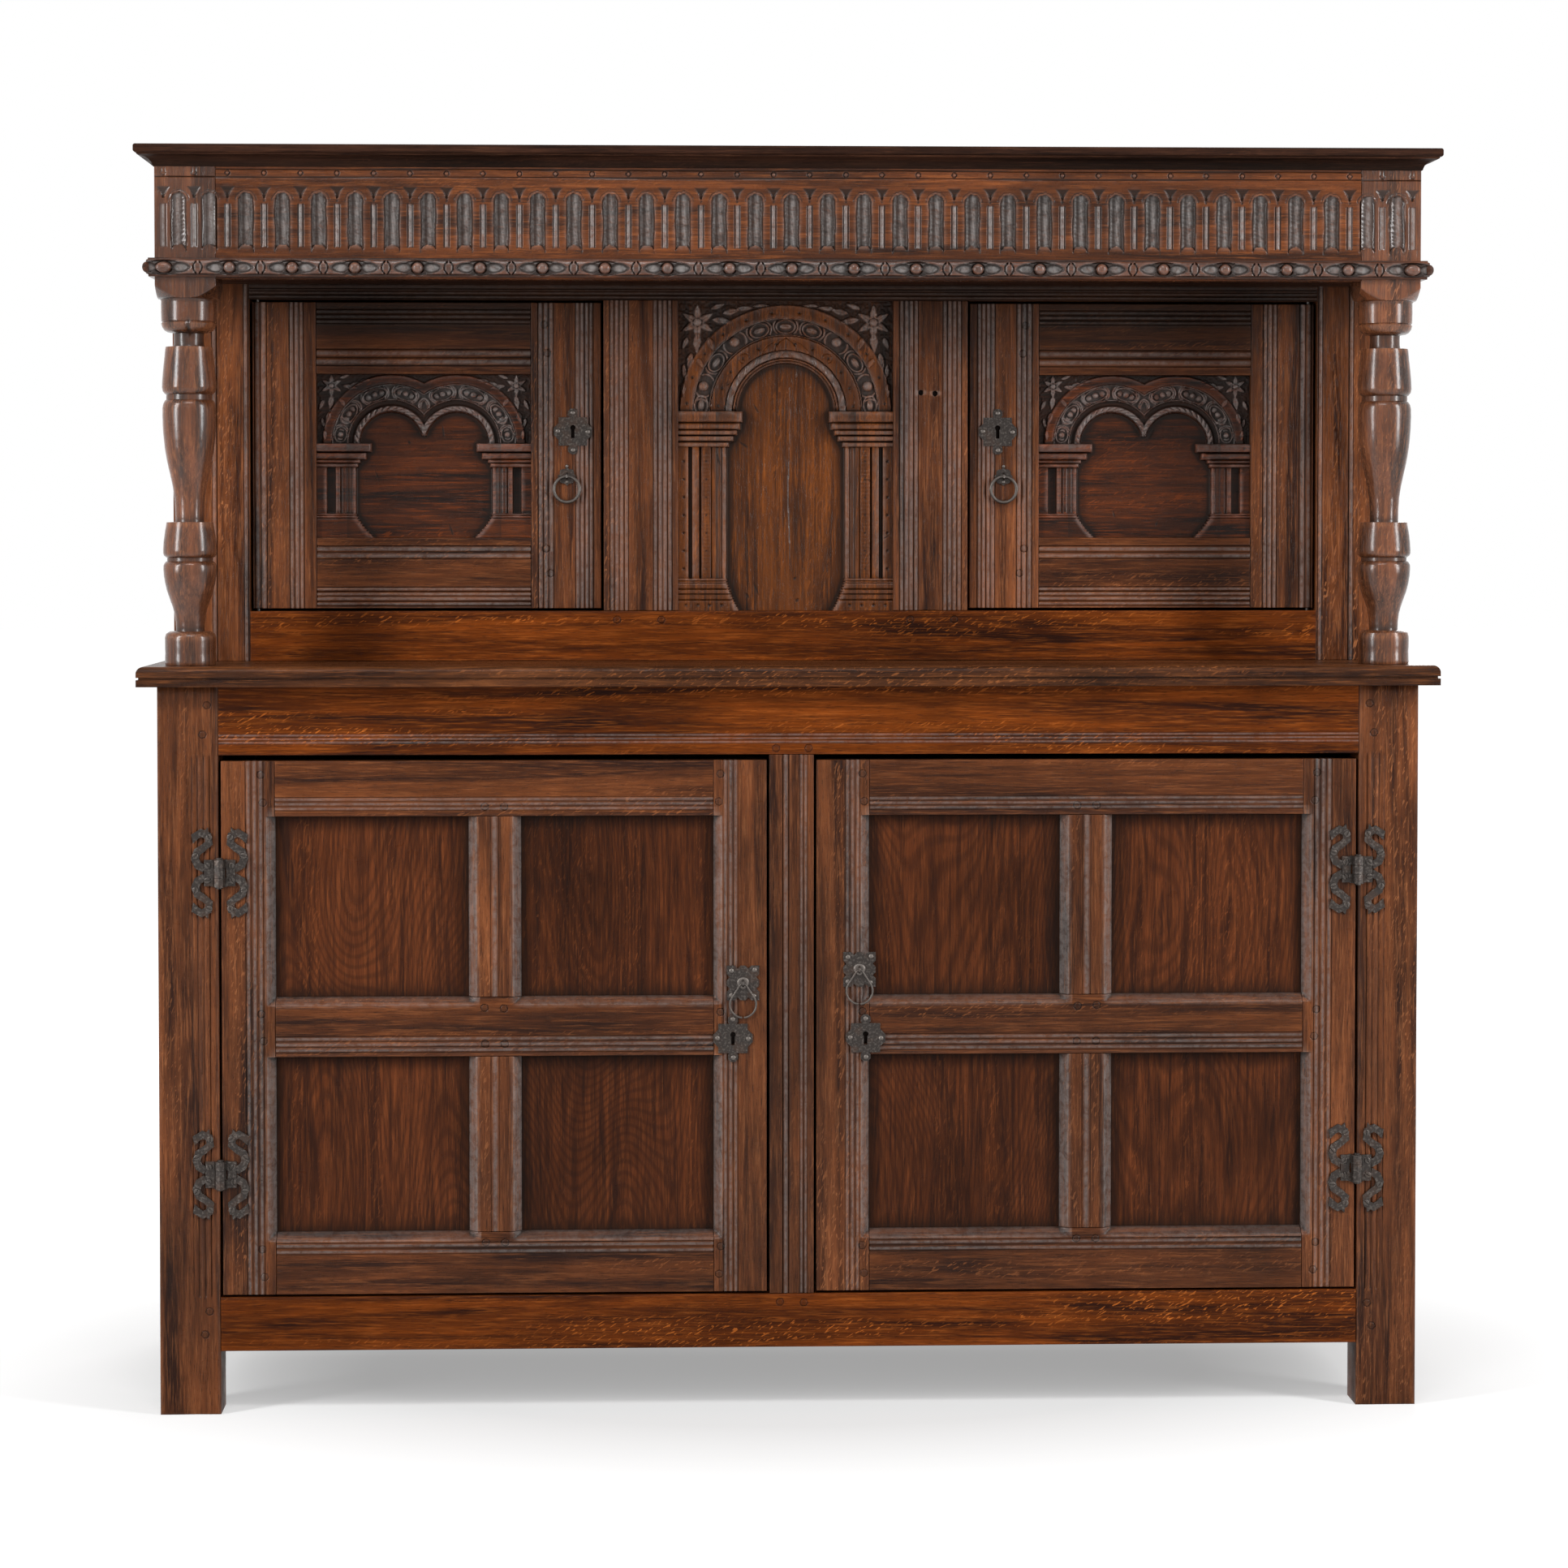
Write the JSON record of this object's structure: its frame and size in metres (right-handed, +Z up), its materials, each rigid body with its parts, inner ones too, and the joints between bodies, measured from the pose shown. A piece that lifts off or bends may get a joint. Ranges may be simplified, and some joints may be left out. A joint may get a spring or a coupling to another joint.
{
  "type": "court cupboard",
  "caption": "Joined oak court cupboard: a recessed, carved upper stage under a fluted frieze on turned columns, above a panelled lower case with iron-hinged doors.",
  "frame": {"origin": "on the floor, at the middle of the overall width and depth", "axes": "+X to the right as seen from the front, +Y to the back, +Z up; the doors face -Y"},
  "size_m": [1.68, 0.564, 1.635],
  "materials": {
    "oak_frame": "aged oak, dark reddish brown, waxed",
    "oak_carved": "carved and turned oak, waxed, paler on the high points",
    "oak_panel": "aged oak panels, waxed",
    "oak_board": "unpolished oak boards",
    "iron": "dark forged iron, worn bright at the edges",
    "steel": "dark worn iron, rubbed where it slides"
  },
  "bodies": {
    "carcass": {"back_left_post": "oak_frame", "back_right_post": "oak_frame", "bead_moulding": "oak_carved", "centre_arcade": "oak_carved", "columns": "oak_carved", "cornice_moulding": "oak_frame", "frieze": "oak_carved", "frieze_sides": "oak_carved", "front_left_post": "oak_frame", "front_right_post": "oak_frame", "lower_back": "oak_board", "lower_bottom_rail": "oak_frame", "lower_floor": "oak_board", "lower_hinge_post_leaves": "iron", "lower_muntin": "oak_frame", "lower_side_frames": "oak_frame", "lower_side_panels": "oak_panel", "lower_top_rail": "oak_frame", "shelf": "oak_frame", "soffit": "oak_board", "top_board": "oak_frame", "upper_back": "oak_board", "upper_back_posts": "oak_board", "upper_bottom_rail": "oak_frame", "upper_door_pivots": "steel", "upper_muntins": "oak_frame", "upper_side_panels": "oak_panel", "upper_side_rails": "oak_frame", "upper_stiles": "oak_frame", "upper_top_rail": "oak_frame"},
    "lower_left_door": {"lower_left_door_ironwork": "iron", "lower_left_door_muntins": "oak_frame", "lower_left_door_panels": "oak_panel", "lower_left_door_rails": "oak_frame", "lower_left_door_stiles": "oak_frame"},
    "lower_right_door": {"lower_right_door_ironwork": "iron", "lower_right_door_muntins": "oak_frame", "lower_right_door_panels": "oak_panel", "lower_right_door_rails": "oak_frame", "lower_right_door_stiles": "oak_frame"},
    "upper_left_door": {"upper_left_door_arcade": "oak_carved", "upper_left_door_ironwork": "iron", "upper_left_door_rails": "oak_frame", "upper_left_door_stiles": "oak_frame"},
    "upper_right_door": {"upper_right_door_arcade": "oak_carved", "upper_right_door_ironwork": "iron", "upper_right_door_rails": "oak_frame", "upper_right_door_stiles": "oak_frame"},
    "lower_left_door_bolt": {"lower_left_door_bolt": "steel"},
    "lower_left_door_drop": {"lower_left_door_drop": "iron"},
    "lower_right_door_bolt": {"lower_right_door_bolt": "steel"},
    "lower_right_door_drop": {"lower_right_door_drop": "iron"},
    "upper_left_door_bolt": {"upper_left_door_bolt": "steel"},
    "upper_left_door_ring": {"upper_left_door_ring": "iron"},
    "upper_right_door_bolt": {"upper_right_door_bolt": "steel"},
    "upper_right_door_ring": {"upper_right_door_ring": "iron"}
  },
  "joints": [
    {"name": "lower_left_door_hinge", "type": "hinge", "parent": "carcass", "child": "lower_left_door", "pos_m": [-0.7365, -0.2656, 0.507], "axis": [0, 0, -1], "range_deg": [0, 165]},
    {"name": "lower_right_door_hinge", "type": "hinge", "parent": "carcass", "child": "lower_right_door", "pos_m": [0.7365, -0.2656, 0.507], "axis": [0, 0, 1], "range_deg": [0, 165]},
    {"name": "upper_left_door_pivot", "type": "hinge", "parent": "carcass", "child": "upper_left_door", "pos_m": [-0.7055, -0.0515, 1.2425], "axis": [0, 0, -1], "range_deg": [0, 95]},
    {"name": "upper_right_door_pivot", "type": "hinge", "parent": "carcass", "child": "upper_right_door", "pos_m": [0.7055, -0.0515, 1.2425], "axis": [0, 0, 1], "range_deg": [0, 95]},
    {"name": "lower_left_drop_swing", "type": "hinge", "parent": "lower_left_door", "child": "lower_left_door_drop", "pos_m": [-0.063, -0.2615, 0.55615], "axis": [-1, 0, 0], "range_deg": [0, 110]},
    {"name": "lower_right_drop_swing", "type": "hinge", "parent": "lower_right_door", "child": "lower_right_door_drop", "pos_m": [0.088, -0.2615, 0.57315], "axis": [-1, 0, 0], "range_deg": [0, 110]},
    {"name": "upper_left_ring_swing", "type": "hinge", "parent": "upper_left_door", "child": "upper_left_door_ring", "pos_m": [-0.293, -0.0622, 1.21485], "axis": [-1, 0, 0], "range_deg": [0, 110]},
    {"name": "upper_right_ring_swing", "type": "hinge", "parent": "upper_right_door", "child": "upper_right_door_ring", "pos_m": [0.293, -0.0622, 1.21485], "axis": [-1, 0, 0], "range_deg": [0, 110]},
    {"name": "lower_left_bolt_throw", "type": "slide", "parent": "lower_left_door", "child": "lower_left_door_bolt", "axis": [1, 0, 0], "range_m": [0, 0.012]},
    {"name": "lower_right_bolt_throw", "type": "slide", "parent": "lower_right_door", "child": "lower_right_door_bolt", "axis": [-1, 0, 0], "range_m": [0, 0.012]},
    {"name": "upper_left_bolt_throw", "type": "slide", "parent": "upper_left_door", "child": "upper_left_door_bolt", "axis": [1, 0, 0], "range_m": [0, 0.012]},
    {"name": "upper_right_bolt_throw", "type": "slide", "parent": "upper_right_door", "child": "upper_right_door_bolt", "axis": [-1, 0, 0], "range_m": [0, 0.012]}
  ]
}
